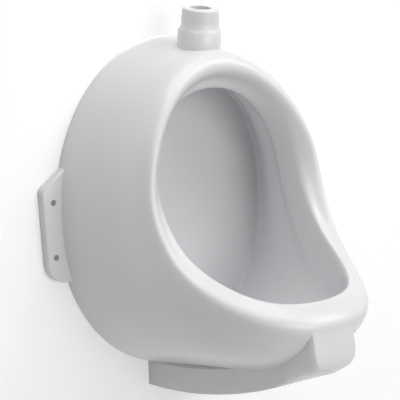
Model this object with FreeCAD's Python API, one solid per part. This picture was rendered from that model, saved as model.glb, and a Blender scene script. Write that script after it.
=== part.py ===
import FreeCAD, Part
import math
import os
from collections import namedtuple

os.makedirs("parts", exist_ok=True)
V = FreeCAD.Vector
UP = V(0, 0, 1)
FORWARD = V(0, -1, 0)

# Flat-back wall urinal in glazed china, with its waste fitting. Millimetres.
# The wall is the plane Y = 0, the bowl stands out from it towards -Y, and X runs along
# the wall. Heights here are measured from the lowest edge of the foot, and the finished
# pieces are moved down so that the origin lies midway between the four fixing holes.

# Driving dimensions of the china ------------------------------------------------
BODY_WIDTH = 306.0          # across the back edge of the shell, without the ears
DOME_TOP = 394.0            # top of the back edge of the shell
KEEL_BOTTOM = 22.0          # lowest point of the back edge of the shell
LIP_REACH = 281.0           # how far the front lip stands out from the wall
LIP_HEIGHT = 111.0          # height of its crest
OPENING_WIDTH = 181.0       # between the inner edges of the rim
OPENING_TOP = 340.0         # inner edge of the rim at its highest point
OPENING_BOTTOM = 131.0      # inner side of the crest at the lip
FLOOR_Z = 63.0              # floor of the bowl at its back
BACK_WALL = 15.0            # thickness of china between the bowl and the wall
INNER_LIP = 7.0             # how thick the rim is at its inner edge
STATIONS = 20               # control points round each ring of the shell

# Horn that takes the flush pipe. It leans forward from a collar on the crown.
HORN_TOP = 430.0
HORN_FROM_WALL = 69.0       # middle of the mouth
HORN_LEAN = 8.0             # degrees
HORN_R = 20.3
HORN_TAPER = 0.7            # how much thicker the horn is at its foot
HORN_BORE_R = 11.0
SHOULDER_DEPTH = 20.0       # from the mouth down to the slope of the collar
SHOULDER_SLOPE = 5.0
COLLAR_R = 24.0
COLLAR_DEPTH = 62.0         # from the mouth down to the hidden end of the collar
COLLAR_BLEND = 4.0          # rounding where the collar meets the crown
HORN_EDGE = 2.5             # rounding of the horn's mouth

# Flush channel inside the rim and its wash holes
CHANNEL_R = 7.0
CHANNEL_DEPTH = 62.0        # distance of the channel from the wall
CHANNEL_HALF_WIDTH = 116.0
CHANNEL_TOP = 369.0
CHANNEL_WAIST = 226.0
CHANNEL_SWEEP = 78.0        # degrees each side of the top
WASH_HOLE_R = 2.5
WASH_HOLE_REACH = 34.0
WASH_HOLES = 11

# Pockets that lighten the china, open at the back, one down each side
POCKET_DEPTH = 44.0
OUTER_SKIN = 12.0           # china left between a pocket and the outside
INNER_SKIN = 10.0           # and between a pocket and the bowl
POCKET_DRAFT = 3.0          # how much a pocket narrows on each side
POCKET_FROM = 24.0          # degrees from the top
POCKET_TO = 140.0

# Ears with the fixing holes
EAR_SPAN = 350.0            # over both ears
EAR_THICKNESS = 11.0
EAR_TOP = 268.0             # where the sloping top edge would meet the root
EAR_BOTTOM = 138.0
EAR_ROOT = 14.0             # how far each ear runs into the shell
EAR_BEVEL_RISE = 27.0       # height of the sloping top edge
EAR_LEAN = 4.0              # how much the outer edge draws in towards the bottom
EAR_TOP_R = 9.0
EAR_BOTTOM_R = 22.0
EAR_EDGE_R = 2.0
FIXING_HOLE_R = 3.5
FIXING_SPAN = 323.6         # between the left and right holes
FIXING_PITCH = 60.0         # between the upper and lower holes
FIXING_MID_Z = 197.0

# Foot below the bowl. It runs forward as a keel and ends as a chin under the lip.
FOOT_WIDTH = 80.0           # at the wall
CHIN_WIDTH = 58.0
FOOT_REACH = 278.5
CHIN_BOW = 3.0              # how far the chin's corners stand back
FOOT_RISE = 64.0            # how much the lower edge climbs from the wall to the chin
BAND_HEIGHT = 28.0          # height of the foot's side
CHIN_TOP = 111.0
CHIN_DEPTH = 20.0           # thickness of the chin inside the lip
FOOT_TOP_BACK = 45.0        # where the foot ends inside the china, at the wall
FOOT_TOP_FRONT = 70.0       # and where the chin begins
CHIN_NOSE_R = 24.0          # rounding below the chin
CHIN_CORNER_R = 7.0         # rounding of its upright corners
FOOT_EDGE_R = 3.0
ROOF_RISE = 26.0            # rise of the slope from the foot's side up to the belly

# Outlet through the floor of the bowl
OUTLET_FROM_WALL = 76.0
OUTLET_R = 22.0
SEAT_Z = 58.0               # level of the seat for the waste flange
SEAT_R = 36.0
FLOOR_THICKNESS = 15.0      # china clamped by the waste
FOOT_WALL = 8.0
HOLLOW_REACH = 200.0        # how far the hollow of the foot runs from the wall
HOLLOW_CORNER_R = 10.0

# Waste fitting, for a 1 1/4 inch pipe thread
THREAD_R = 20.95
WASTE_BORE_R = 16.5
WASTE_FLANGE_R = 32.0
WASTE_FLANGE_THICKNESS = 3.0
WASTE_END_Z = 2.0
GASKET_THICKNESS = 2.5
SLIP_THICKNESS = 1.5
NUT_THICKNESS = 10.0
NUT_ACROSS_FLATS = 50.0
WASHER_R = 27.0
RELIEF_WIDTH = 1.5          # groove where the free thread begins below the nut
RELIEF_DEPTH = 0.6
RUNNING_GAP = 0.3

# Lift-out strainer
STRAINER_R = 23.0
STRAINER_CROWN = 11.0
STRAINER_WALL = 1.6
STRAINER_RIM = 3.0
STRAINER_HOLE_R = 2.2

Ring = namedtuple("Ring", "half_width top waist bottom deep_top deep_waist deep_front "
                          "crown_fullness keel_fullness forward_power")


# --------------------------------------------------------------------------------
# Shell: a skin drawn over closed rings that run round the bowl
# --------------------------------------------------------------------------------
# A smooth closed curve runs a little inside its control points, which this makes up for
SWELL = 6 / (4 + 2 * math.cos(2 * math.pi / STATIONS))


def ring_points(ring):
    """Control points of one ring, from the top down the left side and up again."""
    points = []
    for station in range(STATIONS):
        angle = 2 * math.pi * station / STATIONS
        side, rise = math.sin(angle), math.cos(angle)
        upper = rise >= 0
        fullness = ring.crown_fullness if upper else ring.keel_fullness
        reach = ring.top - ring.waist if upper else ring.waist - ring.bottom
        x = -SWELL * ring.half_width * math.copysign(abs(side) ** (2 / fullness), side)
        z = ring.waist + SWELL * reach * math.copysign(abs(rise) ** (2 / fullness), rise)
        if upper:
            depth = ring.deep_waist + (ring.deep_top - ring.deep_waist) * rise ** 2
        else:
            step = ring.deep_front - ring.deep_waist
            depth = ring.deep_waist + step * abs(rise) ** ring.forward_power
        points.append(V(x, -depth, z))
    return points


def back_edge():
    return Ring(BODY_WIDTH / 2, DOME_TOP, 209, KEEL_BOTTOM, 0, 0, 0, 2.02, 2.08, 2)


def bowl_corner():
    """Where the side of the bowl meets its flat back."""
    return Ring(OPENING_WIDTH / 2 + 24, OPENING_TOP + 17, 219, FLOOR_Z - 1,
                BACK_WALL, BACK_WALL, BACK_WALL, 2.12, 2.5, 2)


def level(ring, depth):
    return ring._replace(deep_top=depth, deep_waist=depth, deep_front=depth)


def shell_rings():
    """Rings that the skin is drawn to: from the wall over the crest and into the bowl."""
    half = BODY_WIDTH / 2
    inner = OPENING_WIDTH / 2
    edge = Ring(inner, OPENING_TOP, 224, OPENING_BOTTOM - 50, 82, 90, LIP_REACH - 31.5,
                2.2, 3.2, 1.22)
    corner = bowl_corner()
    return [
        back_edge(),
        level(back_edge(), 14),
        # flank, belly and neck of the outer shell
        Ring(half - 8, DOME_TOP - 3, 213, KEEL_BOTTOM + 10, 43, 55, 70, 1.97, 2.0, 2.0),
        Ring(half - 17, DOME_TOP - 9, 214, KEEL_BOTTOM + 22, 73, 93, 170, 1.93, 2.2, 2.0),
        Ring(half - 30, DOME_TOP - 13, 218, LIP_HEIGHT - 48, 95, 109, LIP_REACH - 34,
             2.0, 2.6, 1.74),
        # crest of the rim, outer and inner side
        Ring(inner + 26, OPENING_TOP + 26, 225, LIP_HEIGHT, 103, 133, LIP_REACH + 14,
             2.0, 3.04, 1.35),
        Ring(inner + 13, OPENING_TOP + 16, 230, OPENING_BOTTOM, 98, 120, LIP_REACH - 15,
             2.0, 3.26, 1.65),
        # shallow dish between the crest and the inner edge
        Ring(inner + 3.5, OPENING_TOP + 12, 237, OPENING_BOTTOM + 9, 83, 114, LIP_REACH - 29,
             2.1, 3.28, 1.22),
        # inner edge, front and back
        edge,
        edge._replace(deep_top=82 - INNER_LIP, deep_waist=90 - INNER_LIP,
                      deep_front=LIP_REACH - 31.5 - INNER_LIP),
        # hood behind the inner edge, then the side of the bowl
        Ring(inner + 5, OPENING_TOP + 10, 225, FLOOR_Z + 14, 60, 78, LIP_REACH - 56,
             2.0, 3.0, 1.64),
        Ring(inner + 7, OPENING_TOP + 13, 215, FLOOR_Z + 2, 40, 54, 151, 2.0, 2.5, 2.0),
        # tight corner of the bowl with its flat back
        level(corner._replace(half_width=corner.half_width + 1, top=corner.top + 1),
              BACK_WALL + 5),
        corner,
        corner._replace(half_width=corner.half_width - 3, top=corner.top - 3,
                        bottom=corner.bottom + 2),
        corner._replace(half_width=corner.half_width - 20, top=corner.top - 20,
                        bottom=corner.bottom + 14),
    ]


def skin_surface():
    rings = [ring_points(ring) for ring in shell_rings()]
    poles = [[ring[station] for ring in rings] for station in range(STATIONS)]
    degree = 3
    spans = len(rings) - degree
    skin = Part.BSplineSurface()
    skin.buildFromPolesMultsKnots(
        poles,
        [1] * (STATIONS + 1),
        [degree + 1] + [1] * (spans - 1) + [degree + 1],
        [float(knot) for knot in range(STATIONS + 1)],
        [float(knot) for knot in range(spans + 1)],
        True, False, degree, degree)
    return skin


def flat_cap(curve):
    return Part.Face(Part.Wire([curve.toShape()]))


def shell_solid():
    skin = skin_surface()
    first, last, low, high = skin.bounds()
    faces = [skin.toShape(), flat_cap(skin.vIso(low)), flat_cap(skin.vIso(high))]
    closed = Part.makeShell(faces)
    closed.sewShape()
    solid = Part.makeSolid(closed)
    solid.fix(0.01, 0.01, 0.01)
    if solid.Volume < 0:
        solid.reverse()
    return solid


# --------------------------------------------------------------------------------
# Horn, ears, foot
# --------------------------------------------------------------------------------
def turned(profile, x, y):
    """Turn a closed profile of (radius, height) points about a vertical axis."""
    points = [V(x + radius, y, height) for radius, height in profile]
    face = Part.Face(Part.makePolygon(points + points[:1]))
    return face.revolve(V(x, y, 0), UP, 360)


def leaned(shape):
    """Tip a shape drawn on a vertical axis, with the horn's mouth at Z = 0, into its place."""
    shape.rotate(V(0, 0, 0), V(1, 0, 0), HORN_LEAN)
    drop = HORN_R * math.sin(math.radians(HORN_LEAN))
    shape.translate(V(0, -HORN_FROM_WALL, HORN_TOP - drop))
    return shape


def horn_solid():
    foot = HORN_R + HORN_TAPER
    profile = [(0, -COLLAR_DEPTH), (COLLAR_R, -COLLAR_DEPTH),
               (COLLAR_R, -SHOULDER_DEPTH - SHOULDER_SLOPE), (foot, -SHOULDER_DEPTH),
               (HORN_R, 0), (0, 0)]
    horn = turned(profile, 0, 0)
    mouth = [e for e in horn.Edges
             if abs(e.CenterOfMass.z) < 0.01 and e.Curve.TypeId == "Part::GeomCircle"]
    return leaned(horn.makeFillet(HORN_EDGE, mouth))


def horn_bore():
    return leaned(Part.makeCylinder(HORN_BORE_R, COLLAR_DEPTH + HORN_EDGE, V(0, 0, -COLLAR_DEPTH)))


def ear_plate():
    """Ear on the left, in the plane of the wall."""
    outer = EAR_SPAN / 2
    root = BODY_WIDTH / 2 - EAR_ROOT
    outline = [V(-root, 0, EAR_TOP), V(-outer, 0, EAR_TOP - EAR_BEVEL_RISE),
               V(-outer + EAR_LEAN, 0, EAR_BOTTOM), V(-root, 0, EAR_BOTTOM)]
    plate = Part.Face(Part.makePolygon(outline + outline[:1])).extrude(FORWARD * EAR_THICKNESS)
    for corner, radius in ((outline[1], EAR_TOP_R), (outline[2], EAR_BOTTOM_R)):
        upright = [e for e in plate.Edges
                   if all(abs(v.X - corner.x) + abs(v.Z - corner.z) < 0.01 for v in e.Vertexes)]
        plate = plate.makeFillet(radius, upright)
    front = [e for e in plate.Edges
             if abs(e.CenterOfMass.y + EAR_THICKNESS) < 0.01 and e.CenterOfMass.x < -root - 1]
    return plate.makeFillet(EAR_EDGE_R, front)


def fixing_places():
    for side in (-1, 1):
        for level in (-1, 1):
            yield side * FIXING_SPAN / 2, FIXING_MID_Z + level * FIXING_PITCH / 2


def foot_half_width(depth):
    return (FOOT_WIDTH + (CHIN_WIDTH - FOOT_WIDTH) * depth / FOOT_REACH) / 2


def foot_low(depth):
    """Height of the foot's lower edge at a distance from the wall."""
    return FOOT_RISE * (depth / FOOT_REACH) ** 2


def chin_start():
    return FOOT_REACH - CHIN_NOSE_R - BAND_HEIGHT


def foot_block():
    """Plan of the foot with the chin's bowed front, drawn up into the bowl and the lip."""
    half_back, half_front = foot_half_width(0), foot_half_width(FOOT_REACH)
    corner_y = CHIN_BOW - FOOT_REACH
    left, right = V(-half_front, corner_y, 0), V(half_front, corner_y, 0)
    back_left, back_right = V(-half_back, 0, 0), V(half_back, 0, 0)
    plan = Part.Wire([Part.makeLine(back_left, left),
                      Part.Arc(left, V(0, -FOOT_REACH, 0), right).toShape(),
                      Part.makeLine(right, back_right), Part.makeLine(back_right, back_left)])
    block = Part.Face(plan).extrude(UP * (CHIN_TOP + 1))
    uprights = [e for e in block.Edges
                if all(abs(v.Y - corner_y) < 0.01 for v in e.Vertexes)
                and abs(e.tangentAt(e.FirstParameter).z) > 0.9]
    return block.makeFillet(CHIN_CORNER_R, uprights)


def foot_side_view():
    """Side view of the foot: the climbing lower edge, the round nose and the hidden top."""
    steps = 6
    front = FOOT_REACH + CHIN_BOW / 4
    nose = front - CHIN_NOSE_R
    under = Part.BSplineCurve()
    under.interpolate([V(0, -nose * step / steps, foot_low(nose * step / steps))
                       for step in range(steps + 1)])
    nose_low = foot_low(nose)
    nose_top = nose_low + CHIN_NOSE_R * 1.1
    middle = V(0, -nose - CHIN_NOSE_R * 0.74, nose_low + CHIN_NOSE_R * 0.36)
    chin = Part.Arc(V(0, -nose, nose_low), middle, V(0, -front, nose_top))
    inside = FOOT_REACH - CHIN_DEPTH
    top = [V(0, -front, nose_top), V(0, -front, CHIN_TOP), V(0, -inside, CHIN_TOP),
           V(0, -inside + CHIN_DEPTH * 0.4, CHIN_TOP - BAND_HEIGHT),
           V(0, -chin_start(), FOOT_TOP_FRONT), V(0, 0, FOOT_TOP_BACK), V(0, 0, 0)]
    side = Part.Wire([under.toShape(), chin.toShape()]
                     + [Part.makeLine(a, b) for a, b in zip(top, top[1:])])
    slab = Part.Face(side).extrude(V(FOOT_WIDTH * 2, 0, 0))
    slab.translate(V(-FOOT_WIDTH, 0, 0))
    return slab


def roof_cut():
    """Wedge over the left side of the foot, which leaves a slope up to the belly."""
    sections = []
    for depth in (-2, 60, 120, 180, chin_start()):
        half = foot_half_width(depth)
        high = foot_low(max(depth, 0)) + BAND_HEIGHT
        outline = [V(-half - 5, -depth, high - 5), V(-half + ROOF_RISE, -depth, high + ROOF_RISE),
                   V(-half - 5, -depth, high + ROOF_RISE)]
        sections.append(Part.makePolygon(outline + outline[:1]))
    return Part.makeLoft(sections, True, False)


def foot_solid():
    left_cut = roof_cut()
    right_cut = left_cut.mirror(V(0, 0, 0), V(1, 0, 0))
    return foot_block().common(foot_side_view()).cut([left_cut, right_cut])


# --------------------------------------------------------------------------------
# Hollows of the china
# --------------------------------------------------------------------------------
def channel_point(degrees):
    angle = math.radians(degrees)
    return V(CHANNEL_HALF_WIDTH * math.sin(angle), -CHANNEL_DEPTH,
             CHANNEL_WAIST + (CHANNEL_TOP - CHANNEL_WAIST) * math.cos(angle))


def flush_channel():
    path = Part.BSplineCurve()
    steps = 12
    sweep = [-CHANNEL_SWEEP + 2 * CHANNEL_SWEEP * step / steps for step in range(steps + 1)]
    path.interpolate([channel_point(angle) for angle in sweep])
    start, end = path.FirstParameter, path.LastParameter
    circle = Part.makeCircle(CHANNEL_R, path.value(start), path.tangent(start)[0])
    pipe = Part.Wire([path.toShape()]).makePipeShell([Part.Wire([circle])], True, False)
    return pipe


def wash_holes():
    """Short drillings from the channel through the hood, slanted back into the bowl."""
    holes = []
    for index in range(WASH_HOLES):
        share = 2 * index / (WASH_HOLES - 1) - 1
        start = channel_point(share * (CHANNEL_SWEEP - 6))
        inward = V(0, -CHANNEL_DEPTH + 2, CHANNEL_WAIST) - start
        inward.normalize()
        holes.append(Part.makeCylinder(WASH_HOLE_R, WASH_HOLE_REACH, start, inward))
    return holes


def ring_point(ring, degrees, outwards, depth):
    """Point beside a ring, at an angle from the top, moved outwards by a distance."""
    angle = math.radians(degrees)
    side, rise = math.sin(angle), math.cos(angle)
    upper = rise >= 0
    fullness = ring.crown_fullness if upper else ring.keel_fullness
    reach = (ring.top - ring.waist if upper else ring.waist - ring.bottom) + outwards
    x = -(ring.half_width + outwards) * abs(side) ** (2 / fullness)
    return V(x, -depth, ring.waist + reach * math.copysign(abs(rise) ** (2 / fullness), rise))


def pocket_outline(depth, draft):
    """Crescent between the outer skin and the bowl's wall, on the left, at one depth."""
    steps = 8
    turns = [POCKET_FROM + (POCKET_TO - POCKET_FROM) * step / steps for step in range(steps + 1)]
    outer = Part.BSplineCurve()
    outer.interpolate([ring_point(back_edge(), turn, -OUTER_SKIN - draft, depth)
                       for turn in turns])
    inner = Part.BSplineCurve()
    inner.interpolate([ring_point(bowl_corner(), turn, INNER_SKIN + draft, depth)
                       for turn in turns])
    low = Part.makeLine(outer.EndPoint, inner.EndPoint)
    high = Part.makeLine(inner.StartPoint, outer.StartPoint)
    return Part.Wire([outer.toShape(), low, inner.toShape(), high])


def side_pockets():
    left = Part.makeLoft([pocket_outline(0, 0), pocket_outline(POCKET_DEPTH, POCKET_DRAFT)],
                         True, True)
    return [left, left.mirror(V(0, 0, 0), V(1, 0, 0))]


def outlet_cuts():
    centre = V(0, -OUTLET_FROM_WALL, 0)
    seat = Part.makeCylinder(SEAT_R, FLOOR_Z, centre + UP * SEAT_Z)
    hole = Part.makeCylinder(OUTLET_R, SEAT_Z, centre)
    return [seat, hole]


def foot_hollow():
    """Space under the floor of the bowl, open below, for the nut and the trap's union."""
    half_back = foot_half_width(FOOT_WALL) - FOOT_WALL
    half_front = foot_half_width(HOLLOW_REACH) - FOOT_WALL
    plan = [V(-half_back, -FOOT_WALL, -1), V(-half_front, -HOLLOW_REACH, -1),
            V(half_front, -HOLLOW_REACH, -1), V(half_back, -FOOT_WALL, -1)]
    top = SEAT_Z - FLOOR_THICKNESS
    hollow = Part.Face(Part.makePolygon(plan + plan[:1])).extrude(UP * (top + 1))
    uprights = [e for e in hollow.Edges if abs(e.tangentAt(e.FirstParameter).z) > 0.9]
    return hollow.makeFillet(HOLLOW_CORNER_R, uprights)


def china_body():
    body = shell_solid()
    left_ear = ear_plate()
    right_ear = left_ear.mirror(V(0, 0, 0), V(1, 0, 0))
    body = body.fuse([left_ear, right_ear, horn_solid(), foot_solid()])
    cuts = [horn_bore(), flush_channel(), foot_hollow()]
    cuts += wash_holes() + side_pockets() + outlet_cuts()
    for x, z in fixing_places():
        cuts.append(Part.makeCylinder(FIXING_HOLE_R, EAR_THICKNESS + 2, V(x, 1, z), FORWARD))
    return body.cut(cuts)


# --------------------------------------------------------------------------------
# Waste fitting
# --------------------------------------------------------------------------------
FLANGE_UNDERSIDE = SEAT_Z + GASKET_THICKNESS
FLANGE_TOP = FLANGE_UNDERSIDE + WASTE_FLANGE_THICKNESS
UNDER_WASHER_Z = SEAT_Z - FLOOR_THICKNESS - GASKET_THICKNESS
SLIP_Z = UNDER_WASHER_Z - SLIP_THICKNESS
NUT_Z = SLIP_Z - NUT_THICKNESS


def waste_body():
    """Flange with a dished mouth, and a plain tail as thick as its thread."""
    dish = STRAINER_RIM + RUNNING_GAP
    groove_r = THREAD_R - RELIEF_DEPTH
    profile = [(WASTE_BORE_R, WASTE_END_Z), (THREAD_R, WASTE_END_Z),
               (THREAD_R, NUT_Z - RELIEF_WIDTH), (groove_r, NUT_Z - RELIEF_WIDTH),
               (groove_r, NUT_Z), (THREAD_R, NUT_Z),
               (THREAD_R, FLANGE_UNDERSIDE), (WASTE_FLANGE_R, FLANGE_UNDERSIDE),
               (WASTE_FLANGE_R, FLANGE_TOP - 1.5), (WASTE_FLANGE_R - 1.5, FLANGE_TOP),
               (STRAINER_R + RUNNING_GAP + 1, FLANGE_TOP),
               (STRAINER_R + RUNNING_GAP, FLANGE_TOP - dish + 1.5),
               (WASTE_BORE_R, FLANGE_TOP - dish + 1.5)]
    return turned(profile, 0, -OUTLET_FROM_WALL)


def washer(inner, outer, low, thickness):
    profile = [(inner, low), (outer, low), (outer, low + thickness), (inner, low + thickness)]
    return turned(profile, 0, -OUTLET_FROM_WALL)


def back_nut():
    points = []
    for corner in range(6):
        angle = math.radians(60 * corner + 30)
        radius = NUT_ACROSS_FLATS / 2 / math.cos(math.radians(30))
        points.append(V(radius * math.cos(angle), radius * math.sin(angle) - OUTLET_FROM_WALL,
                        NUT_Z))
    nut = Part.Face(Part.makePolygon(points + points[:1])).extrude(UP * NUT_THICKNESS)
    bore = Part.makeCylinder(THREAD_R + RUNNING_GAP, NUT_THICKNESS, V(0, -OUTLET_FROM_WALL, NUT_Z))
    return nut.cut(bore)


def dome_strainer():
    """Pressed dome with a flat rim, pierced with rings of round holes."""
    seat = FLANGE_TOP - STRAINER_RIM - RUNNING_GAP + 1.5
    ball_r = (STRAINER_R ** 2 + STRAINER_CROWN ** 2) / (2 * STRAINER_CROWN)
    centre = V(0, -OUTLET_FROM_WALL, seat + STRAINER_CROWN - ball_r)
    outside = Part.makeSphere(ball_r, centre)
    inside = Part.makeSphere(ball_r - STRAINER_WALL, centre)
    room = Part.makeCylinder(STRAINER_R, STRAINER_CROWN + 2, V(0, -OUTLET_FROM_WALL, seat))
    dome = outside.common(room).cut(inside)
    dome = dome.fuse(washer(STRAINER_R - 4, STRAINER_R, seat, STRAINER_WALL))
    holes = [Part.makeCylinder(STRAINER_HOLE_R, 3 * STRAINER_CROWN,
                               V(0, -OUTLET_FROM_WALL, seat - 1))]
    for count, spread in ((6, 7.5), (12, 14.5)):
        for index in range(count):
            angle = 2 * math.pi * index / count
            place = V(spread * math.cos(angle), spread * math.sin(angle) - OUTLET_FROM_WALL,
                      seat - 1)
            holes.append(Part.makeCylinder(STRAINER_HOLE_R, 3 * STRAINER_CROWN, place))
    return dome.cut(holes)


NODES = {
    "china_body": china_body,
    "waste_body": waste_body,
    "dome_strainer": dome_strainer,
    "flange_washer": lambda: washer(THREAD_R + RUNNING_GAP, WASHER_R, SEAT_Z,
                                    GASKET_THICKNESS),
    "under_washer": lambda: washer(THREAD_R + RUNNING_GAP, WASHER_R, UNDER_WASHER_Z,
                                   GASKET_THICKNESS),
    "slip_washer": lambda: washer(THREAD_R + RUNNING_GAP, WASHER_R, SLIP_Z, SLIP_THICKNESS),
    "back_nut": back_nut,
}

for name, make in NODES.items():
    shape = make()
    solids = shape.Solids
    print(name, "solids", len(solids), "valid", shape.isValid(), "volume", round(shape.Volume))
    shape = solids[0] if len(solids) == 1 else Part.makeCompound(solids)
    shape.translate(V(0, 0, -FIXING_MID_Z))
    shape.exportStep("parts/" + name + ".step")
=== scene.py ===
import math

import bmesh
import bpy
from mathutils import Matrix, Vector


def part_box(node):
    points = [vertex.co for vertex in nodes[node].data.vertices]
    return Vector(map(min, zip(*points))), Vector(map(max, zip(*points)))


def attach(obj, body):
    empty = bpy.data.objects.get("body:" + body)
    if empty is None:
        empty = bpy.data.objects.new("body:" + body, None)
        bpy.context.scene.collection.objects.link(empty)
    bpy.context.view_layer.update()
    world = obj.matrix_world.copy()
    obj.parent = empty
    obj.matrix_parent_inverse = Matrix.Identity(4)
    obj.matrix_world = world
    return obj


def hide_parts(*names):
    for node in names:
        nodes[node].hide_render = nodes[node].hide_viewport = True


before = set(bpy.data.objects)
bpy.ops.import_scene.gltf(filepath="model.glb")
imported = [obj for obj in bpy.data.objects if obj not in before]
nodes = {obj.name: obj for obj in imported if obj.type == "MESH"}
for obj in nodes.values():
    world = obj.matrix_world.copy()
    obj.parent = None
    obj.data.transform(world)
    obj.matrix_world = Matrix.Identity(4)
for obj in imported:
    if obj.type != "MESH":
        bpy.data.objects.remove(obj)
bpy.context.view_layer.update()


# --------------------------------------------------------------------------------
# Camera: from the front left and a little above, as the urinal is seen on its wall.
# The long lens keeps the foreshortening of the lip small.
# --------------------------------------------------------------------------------
PICTURE_SIDE = 400          # pixels
SENSOR = 36.0               # millimetres
FOCAL_PIXELS = 1700
VIEW_AZIMUTH = math.radians(-37.47)
VIEW_ELEVATION = math.radians(10.10)
VIEW_ROLL = math.radians(-1.78)
VIEW_DISTANCE = 1.8417
TARGET = Vector((0, -0.110, 0.018))
TARGET_PIXEL = (230.0, 205.5)

lens = bpy.data.cameras.new("camera")
lens.sensor_width = SENSOR
lens.lens = SENSOR * FOCAL_PIXELS / PICTURE_SIDE
lens.shift_x = -(TARGET_PIXEL[0] / PICTURE_SIDE - 0.5)
lens.shift_y = TARGET_PIXEL[1] / PICTURE_SIDE - 0.5
camera = bpy.data.objects.new("camera", lens)
bpy.context.scene.collection.objects.link(camera)
to_camera = Vector((math.sin(VIEW_AZIMUTH) * math.cos(VIEW_ELEVATION),
                    -math.cos(VIEW_AZIMUTH) * math.cos(VIEW_ELEVATION),
                    math.sin(VIEW_ELEVATION)))
facing = (-to_camera).to_track_quat("-Z", "Y").to_matrix().to_4x4()
camera.matrix_world = (Matrix.Translation(TARGET + to_camera * VIEW_DISTANCE)
                       @ facing @ Matrix.Rotation(VIEW_ROLL, 4, "Z"))
bpy.context.scene.camera = camera


# --------------------------------------------------------------------------------
# China body: slip cast vitreous china, fired whole with a thick clear-white gloss glaze
# that softens the look of every edge. The face against the wall is left bare and matt,
# and screws through the two ears hold it there.
# --------------------------------------------------------------------------------
GLAZE_COLOUR = (0.80, 0.80, 0.815, 1)
GLAZE_SHADE = 0.985         # how much darker the glaze is where it lies thin
GLAZE_CLOUD_SCALE = 9       # thick and thin clouds to the metre
GLAZE_CLOUD_DETAIL = 2
GLAZE_ROUGHNESS = 0.22
GLAZE_WAVE_SCALE = 55.0     # waves to the metre in the skin of the glaze
GLAZE_WAVE_DETAIL = 1
GLAZE_WAVE_HEIGHT = 0.00006
GLAZE_IOR = 1.5
BISCUIT_COLOUR = (0.72, 0.69, 0.64, 1)
BISCUIT_ROUGHNESS = 0.85
BARE_DEPTH = 0.0012         # how far round the back edge the glaze is wiped off


def new_material(name):
    made = bpy.data.materials.new(name)
    made.use_nodes = True
    tree = made.node_tree
    shader = tree.nodes["Principled BSDF"]
    return made, tree, shader


def glazed_china():
    made, tree, shader = new_material("glazed_china")
    place = tree.nodes.new("ShaderNodeTexCoord")

    cloud = tree.nodes.new("ShaderNodeTexNoise")
    cloud.inputs["Scale"].default_value = GLAZE_CLOUD_SCALE
    cloud.inputs["Detail"].default_value = GLAZE_CLOUD_DETAIL
    tree.links.new(place.outputs["Object"], cloud.inputs["Vector"])
    tint = tree.nodes.new("ShaderNodeMix")
    tint.data_type = "RGBA"
    tint.inputs["A"].default_value = [c * GLAZE_SHADE for c in GLAZE_COLOUR[:3]] + [1]
    tint.inputs["B"].default_value = GLAZE_COLOUR
    tree.links.new(cloud.outputs["Fac"], tint.inputs["Factor"])

    depth = tree.nodes.new("ShaderNodeSeparateXYZ")
    tree.links.new(place.outputs["Object"], depth.inputs["Vector"])
    bare = tree.nodes.new("ShaderNodeMapRange")
    bare.inputs["From Min"].default_value = -BARE_DEPTH
    bare.inputs["From Max"].default_value = -BARE_DEPTH / 2
    tree.links.new(depth.outputs["Y"], bare.inputs["Value"])
    body = tree.nodes.new("ShaderNodeMix")
    body.data_type = "RGBA"
    body.inputs["B"].default_value = BISCUIT_COLOUR
    tree.links.new(bare.outputs["Result"], body.inputs["Factor"])
    tree.links.new(tint.outputs["Result"], body.inputs["A"])
    tree.links.new(body.outputs["Result"], shader.inputs["Base Color"])
    gloss = tree.nodes.new("ShaderNodeMapRange")
    gloss.inputs["To Min"].default_value = GLAZE_ROUGHNESS
    gloss.inputs["To Max"].default_value = BISCUIT_ROUGHNESS
    tree.links.new(bare.outputs["Result"], gloss.inputs["Value"])
    tree.links.new(gloss.outputs["Result"], shader.inputs["Roughness"])

    waves = tree.nodes.new("ShaderNodeTexNoise")
    waves.inputs["Scale"].default_value = GLAZE_WAVE_SCALE
    waves.inputs["Detail"].default_value = GLAZE_WAVE_DETAIL
    tree.links.new(place.outputs["Object"], waves.inputs["Vector"])
    bump = tree.nodes.new("ShaderNodeBump")
    bump.inputs["Distance"].default_value = GLAZE_WAVE_HEIGHT
    tree.links.new(waves.outputs["Fac"], bump.inputs["Height"])
    tree.links.new(bump.outputs["Normal"], shader.inputs["Normal"])
    shader.inputs["IOR"].default_value = GLAZE_IOR
    return made


# The plain foot that the chin is worked from. Its depths are measured from the wall, and its
# heights from its lowest edge, which is at the wall.
FOOT_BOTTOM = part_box("china_body")[0][2]
FOOT_HALF = (0.040, 0.029)  # half its width at the wall and at the chin's corners
FOOT_LENGTH = 0.2785
FOOT_CLIMB = 0.064          # rise of its lower edge over the whole length
CORNER_DEPTH = 0.2755       # where the chin's corners stand
CHIN_BEND = 0.2555          # where the lower edge stops climbing
CHIN_FRONT = 0.266          # everything on the foot from here on is the chin's front
CHIN_HIGH = 0.111           # where it runs up into the lip
NOSE_FROM = 0.250           # the chin's rounded lower corner starts here,
NOSE_HIGH = 0.072           # and ends at this height
SURFACE_SLACK = 0.0001      # what may lie this far off still counts as on the foot
LOWER_EDGE_SLACK = 0.002

# The chin is cast as one round bow. This is what the bow adds to the plain foot, and the
# two depths between which each change grows from nothing to its whole.
CHIN_SWELL = 0.0035         # how far the front is filled out
CHIN_CORNER_FILL = 0.002    # how much further its corners are
SWELL_GROWS = (0.236, 0.272)
CHIN_WIDER = 0.07           # share by which the sides are drawn out
WIDER_GROWS = (0.215, 0.260)
BOW_ROUND = 0.026           # radius of the lower corners, as they are seen from the front
ROUND_GROWS = (0.222, 0.262)
TOP_FADE = 0.034            # height under the lip over which the swell and width fade out

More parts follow.
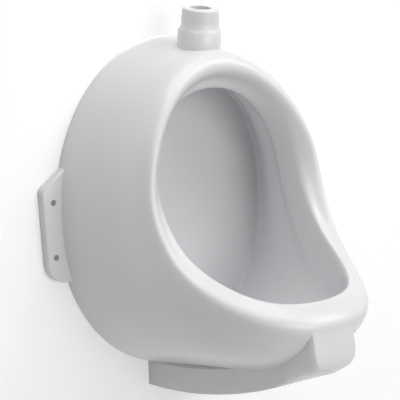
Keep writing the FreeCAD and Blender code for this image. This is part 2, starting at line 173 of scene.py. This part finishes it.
# The plain faces are cut this fine before they are bent, and rubbed smooth after it.
CHIN_FROM = 0.200           # nothing nearer the wall is bent
DEPTH_STEP = 0.005
DEPTH_CUTS = 16
LOWEST_CUT = 0.030
HEIGHT_STEP = 0.0045
HEIGHT_CUTS = 19
WIDTH_STEP = 0.005
CUTS_EACH_SIDE = 5
CUT_SLACK = 1e-6
RUBS = ((0.206, 2), (0.222, 8), (0.236, 20))    # so many times from each depth on
RUB_STRENGTH = 0.5


def ease(value, low, high):
    share = min(1, max(0, (value - low) / (high - low)))
    return share * share * (3 - 2 * share)


def foot_half(depth):
    return FOOT_HALF[0] + (FOOT_HALF[1] - FOOT_HALF[0]) * depth / CORNER_DEPTH


def foot_low(depth):
    return FOOT_CLIMB * (min(depth, CHIN_BEND) / FOOT_LENGTH) ** 2


def on_foot(point):
    """Whether a point of the casting lies on the outside of the plain foot."""
    depth, side, height = -point.y, abs(point.x), point.z - FOOT_BOTTOM
    if side > foot_half(depth) + SURFACE_SLACK or height > CHIN_HIGH + SURFACE_SLACK:
        return False
    if depth > NOSE_FROM and height < NOSE_HIGH:
        return True
    return (side > foot_half(depth) - SURFACE_SLACK or depth > CHIN_FRONT
            or height < foot_low(depth) + LOWER_EDGE_SLACK)


def filled_out(point):
    """The plain chin's front and corners drawn a little forwards and outwards."""
    depth, side, height = -point.y, abs(point.x), point.z - FOOT_BOTTOM
    half = foot_half(min(depth, FOOT_LENGTH))
    corner_r = BOW_ROUND * ease(depth, *ROUND_GROWS)
    across = side - (half - corner_r)
    down = foot_low(depth) + corner_r - height
    if across > 0 and down > 0:
        pull = max(across, down) / math.hypot(across, down)
        side, height = side - across * (1 - pull), height + down * (1 - pull)
    below_lip = ease(CHIN_HIGH - height, 0, TOP_FADE)
    forward = ease(depth, *SWELL_GROWS) * below_lip
    side *= 1 + CHIN_WIDER * ease(depth, *WIDER_GROWS) * below_lip
    depth += forward * (CHIN_SWELL + CHIN_CORNER_FILL * (side / half) ** 2)
    return Vector((math.copysign(side, point.x), -depth, FOOT_BOTTOM + height))


def bow_chin(work):
    """Cut the foot's plain faces fine, fill the chin out and rub its edges round."""
    faces = [f for f in work.faces if all(on_foot(v.co) for v in f.verts)]
    geom = list({v for f in faces for v in f.verts} | {e for f in faces for e in f.edges}) + faces
    cuts = [(Vector((0, -CHIN_FROM - DEPTH_STEP * step, 0)), Vector((0, 1, 0)))
            for step in range(DEPTH_CUTS)]
    cuts += [(Vector((0, 0, FOOT_BOTTOM + LOWEST_CUT + HEIGHT_STEP * step)), Vector((0, 0, 1)))
             for step in range(HEIGHT_CUTS)]
    cuts += [(Vector((WIDTH_STEP * step, 0, 0)), Vector((1, 0, 0)))
             for step in range(-CUTS_EACH_SIDE, CUTS_EACH_SIDE + 1)]
    for place, normal in cuts:
        done = bmesh.ops.bisect_plane(work, geom=geom, dist=CUT_SLACK, plane_co=place,
                                      plane_no=normal)
        geom = [g for g in done["geom"] if g.is_valid]
    own = [v for v in work.verts if -v.co.y > CHIN_FROM
           and all(on_foot(other.co) for f in v.link_faces for other in f.verts)]
    for vert in own:
        vert.co = filled_out(vert.co)
    for start, rubs in RUBS:
        rubbed = [v for v in own if -v.co.y > start]
        for _ in range(rubs):
            bmesh.ops.smooth_vert(work, verts=rubbed, factor=RUB_STRENGTH, use_axis_x=True,
                                  use_axis_y=True, use_axis_z=True)


# Low at the bowl's sides the skin is whole, so the wash holes there are glazed over. Their
# mouths lie between these heights above the fixing line.
LOW_MOUTHS = (0.040, 0.129)
MOUTHS_ASIDE = 0.139        # the fixing holes lie further out than this
MOUTH_REACH = 0.004         # no edge of a mouth is further from its middle
HOLE_REACH = 0.014          # nor is any wall of a hole
SHARP = math.radians(38)    # an edge that turns more than this is seen as an edge


def linked(start, reached):
    """Everything that can be reached from start, one step at a time."""
    found, waiting = {start}, [start]
    while waiting:
        for other in reached(waiting.pop()):
            if other not in found:
                found.add(other)
                waiting.append(other)
    return found


def hole_wall(face, middle, sharp):
    """The wall of a hole that this face is part of, or nothing if its faces run on."""
    def away(one):
        return (one.calc_center_median() - middle).length

    def reached(one):
        if away(one) > HOLE_REACH:
            return []
        return [other for edge in one.edges if edge not in sharp for other in edge.link_faces]

    wall = linked(face, reached)
    return wall if all(away(one) < HOLE_REACH for one in wall) else set()


def glaze_over_low_holes(work):
    """Take out the walls of the low wash holes and close the skin over both their ends."""
    edges = [e for e in work.edges if e.calc_face_angle(0) > SHARP]
    sharp = set(edges)
    seen, walls, mouths = set(), set(), []
    for edge in edges:
        if edge in seen:
            continue
        ring = linked(edge, lambda e: [o for v in e.verts for o in v.link_edges if o in sharp])
        seen |= ring
        verts = {v for e in ring for v in e.verts}
        middle = sum((v.co for v in verts), Vector()) / len(verts)
        if (max((v.co - middle).length for v in verts) < MOUTH_REACH
                and abs(middle.x) < MOUTHS_ASIDE and LOW_MOUTHS[0] < middle.z < LOW_MOUTHS[1]):
            mouths.append(ring)
            for face in edge.link_faces:
                walls |= hole_wall(face, middle, sharp)
    bmesh.ops.delete(work, geom=list(walls), context="FACES")
    for ring in mouths:
        bmesh.ops.holes_fill(work, edges=list(ring), sides=0)


MERGE_DISTANCE = 2e-6


def cast_china():
    """A joined-up, smoothly shaded copy of the plain casting's loose triangles."""
    mesh = nodes["china_body"].data.copy()
    work = bmesh.new()
    work.from_mesh(mesh)
    bmesh.ops.remove_doubles(work, verts=work.verts, dist=MERGE_DISTANCE)
    glaze_over_low_holes(work)
    bow_chin(work)
    for face in work.faces:
        face.smooth = True
    for edge in work.edges:
        edge.smooth = edge.calc_face_angle(math.pi) < SHARP
    work.to_mesh(mesh)
    work.free()
    mesh.materials.clear()
    mesh.materials.append(glazed_china())
    piece = bpy.data.objects.new("china", mesh)
    bpy.context.scene.collection.objects.link(piece)
    return piece


china = cast_china()
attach(china, "urinal")
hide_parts("china_body")


# --------------------------------------------------------------------------------
# Waste fitting: turned and chromed brass with a pierced steel strainer, two rubber
# washers, a plastic slip washer and a plain brass back nut under the bowl.
# --------------------------------------------------------------------------------
CHROME_COLOUR = (0.78, 0.79, 0.80, 1)
STEEL_COLOUR = (0.66, 0.67, 0.68, 1)
BRASS_COLOUR = (0.72, 0.55, 0.28, 1)
RUBBER_COLOUR = (0.02, 0.02, 0.02, 1)
PLASTIC_COLOUR = (0.78, 0.78, 0.76, 1)
WEAR_SCALE = 260            # patches of wear to the metre on metal
WEAR_DETAIL = 6
GRAIN_SCALE = 900           # grains to the metre on moulded pieces


def metal(name, colour, roughness, wear):
    made, tree, shader = new_material(name)
    place = tree.nodes.new("ShaderNodeTexCoord")
    marks = tree.nodes.new("ShaderNodeTexNoise")
    marks.inputs["Scale"].default_value = WEAR_SCALE
    marks.inputs["Detail"].default_value = WEAR_DETAIL
    tree.links.new(place.outputs["Object"], marks.inputs["Vector"])
    spread = tree.nodes.new("ShaderNodeMapRange")
    spread.inputs["To Min"].default_value = roughness
    spread.inputs["To Max"].default_value = roughness + wear
    tree.links.new(marks.outputs["Fac"], spread.inputs["Value"])
    tree.links.new(spread.outputs["Result"], shader.inputs["Roughness"])
    shader.inputs["Base Color"].default_value = colour
    shader.inputs["Metallic"].default_value = 1
    return made


def moulded(name, colour, roughness, grain_height):
    made, tree, shader = new_material(name)
    place = tree.nodes.new("ShaderNodeTexCoord")
    grain = tree.nodes.new("ShaderNodeTexNoise")
    grain.inputs["Scale"].default_value = GRAIN_SCALE
    tree.links.new(place.outputs["Object"], grain.inputs["Vector"])
    bump = tree.nodes.new("ShaderNodeBump")
    bump.inputs["Distance"].default_value = grain_height
    tree.links.new(grain.outputs["Fac"], bump.inputs["Height"])
    tree.links.new(bump.outputs["Normal"], shader.inputs["Normal"])
    shader.inputs["Base Color"].default_value = colour
    shader.inputs["Roughness"].default_value = roughness
    return made


def dress(node, material):
    piece = nodes[node]
    piece.data.materials.clear()
    piece.data.materials.append(material)


chrome = metal("chrome_plate", CHROME_COLOUR, roughness=0.08, wear=0.10)
steel = metal("polished_steel", STEEL_COLOUR, roughness=0.18, wear=0.12)
brass = metal("machined_brass", BRASS_COLOUR, roughness=0.28, wear=0.15)
rubber = moulded("black_rubber", RUBBER_COLOUR, roughness=0.75, grain_height=0.0001)
plastic = moulded("natural_plastic", PLASTIC_COLOUR, roughness=0.45, grain_height=0.00005)
dress("waste_body", chrome)
dress("dome_strainer", steel)
dress("back_nut", brass)
dress("flange_washer", rubber)
dress("under_washer", rubber)
dress("slip_washer", plastic)


# --------------------------------------------------------------------------------
# Stage: a pale wall behind the urinal and a pale floor where it would be in use.
# Both are only there from their front, so that views from behind and below show the
# object, and the light behind the wall reaches the back that lies against it.
# --------------------------------------------------------------------------------
WALL_GAP = 0.0006
FLOOR_Z = -0.70
STAGE_SIZE = 12.0
STAGE_COLOUR = (0.80, 0.80, 0.80, 1)
STAGE_GLOW = 0.32           # adds to the light that falls on it, so that it shows white
NEAR_RAY = 0.004            # rays shorter than this pass the wall


def seen_rays(tree):
    """1 for the rays that show the stage: straight, mirrored or through something clear."""
    path = tree.nodes.new("ShaderNodeLightPath")
    seen = path.outputs["Is Camera Ray"]
    for kind in ("Is Glossy Ray", "Is Transmission Ray"):
        either = tree.nodes.new("ShaderNodeMath")
        either.operation = "MAXIMUM"
        tree.links.new(seen, either.inputs[0])
        tree.links.new(path.outputs[kind], either.inputs[1])
        seen = either.outputs[0]
    return seen


def stage_paint(name):
    made = bpy.data.materials.new(name)
    made.use_nodes = True
    tree = made.node_tree
    tree.nodes.clear()
    out = tree.nodes.new("ShaderNodeOutputMaterial")

    matt = tree.nodes.new("ShaderNodeBsdfDiffuse")
    matt.inputs["Color"].default_value = STAGE_COLOUR
    strength = tree.nodes.new("ShaderNodeMath")
    strength.operation = "MULTIPLY"
    strength.inputs[1].default_value = STAGE_GLOW
    tree.links.new(seen_rays(tree), strength.inputs[0])
    glow = tree.nodes.new("ShaderNodeEmission")
    tree.links.new(strength.outputs[0], glow.inputs["Strength"])
    paint = tree.nodes.new("ShaderNodeAddShader")
    tree.links.new(matt.outputs[0], paint.inputs[0])
    tree.links.new(glow.outputs[0], paint.inputs[1])

    side = tree.nodes.new("ShaderNodeNewGeometry")
    path = tree.nodes.new("ShaderNodeLightPath")
    near = tree.nodes.new("ShaderNodeMath")
    near.operation = "LESS_THAN"
    near.inputs[1].default_value = NEAR_RAY
    tree.links.new(path.outputs["Ray Length"], near.inputs[0])
    away = tree.nodes.new("ShaderNodeMath")
    away.operation = "MAXIMUM"
    tree.links.new(side.outputs["Backfacing"], away.inputs[0])
    tree.links.new(near.outputs[0], away.inputs[1])
    clear = tree.nodes.new("ShaderNodeBsdfTransparent")
    choice = tree.nodes.new("ShaderNodeMixShader")
    tree.links.new(away.outputs[0], choice.inputs[0])
    tree.links.new(paint.outputs[0], choice.inputs[1])
    tree.links.new(clear.outputs[0], choice.inputs[2])
    tree.links.new(choice.outputs[0], out.inputs["Surface"])
    return made


def stage_sheet(name, turn, place, material):
    work = bmesh.new()
    bmesh.ops.create_grid(work, x_segments=1, y_segments=1, size=STAGE_SIZE / 2)
    bmesh.ops.transform(work, matrix=Matrix.Translation(place) @ turn, verts=work.verts)
    mesh = bpy.data.meshes.new(name)
    work.to_mesh(mesh)
    work.free()
    mesh.materials.append(material)
    made = bpy.data.objects.new(name, mesh)
    bpy.context.scene.collection.objects.link(made)


upright = Matrix.Rotation(math.radians(90), 4, "X")
stage_sheet("wall", upright, Vector((0, WALL_GAP, 0)), stage_paint("wall_paint"))
stage_sheet("floor", Matrix.Identity(4), Vector((0, 0, FLOOR_Z)), stage_paint("floor_paint"))


# --------------------------------------------------------------------------------
# Light: a white room and soft boxes, the main ones high on the right, above and in
# front, and one behind the wall for views of the back.
# --------------------------------------------------------------------------------
ROOM_LIGHT = 0.10           # light that the room itself throws on the object
ROOM_COLOUR = (1, 1, 1, 1)
BOWL_MIDDLE = (0, -0.1, 0)
WALL_MIDDLE = (0, 0, 0)

world = bpy.data.worlds.new("room")
bpy.context.scene.world = world
world.use_nodes = True
sky = world.node_tree.nodes["Background"]
room = world.node_tree.nodes.new("ShaderNodeMapRange")
room.inputs["To Min"].default_value = ROOM_LIGHT
world.node_tree.links.new(seen_rays(world.node_tree), room.inputs["Value"])
world.node_tree.links.new(room.outputs["Result"], sky.inputs["Strength"])
sky.inputs["Color"].default_value = ROOM_COLOUR


def soft_box(name, place, aim, size, power):
    lamp = bpy.data.lights.new(name, "AREA")
    lamp.shape = "RECTANGLE"
    lamp.size, lamp.size_y = size
    lamp.energy = power
    made = bpy.data.objects.new(name, lamp)
    bpy.context.scene.collection.objects.link(made)
    aimed = (Vector(aim) - Vector(place)).to_track_quat("-Z", "Y").to_matrix().to_4x4()
    made.matrix_world = Matrix.Translation(place) @ aimed


soft_box("right_box", (1.3, -1.5, 1.5), BOWL_MIDDLE, size=(1.2, 1.2), power=17)
soft_box("top_box", (0, -0.6, 1.9), BOWL_MIDDLE, size=(1.6, 1.2), power=15)
soft_box("left_box", (-1.3, -0.9, 1.5), BOWL_MIDDLE, size=(1.0, 1.0), power=4.5)
soft_box("front_box", (0.2, -2.3, 0.5), BOWL_MIDDLE, size=(1.4, 1.4), power=16)
soft_box("back_box", (0.8, 2.1, 0.9), WALL_MIDDLE, size=(1.4, 1.4), power=26)

bpy.context.scene.view_settings.view_transform = "Standard"
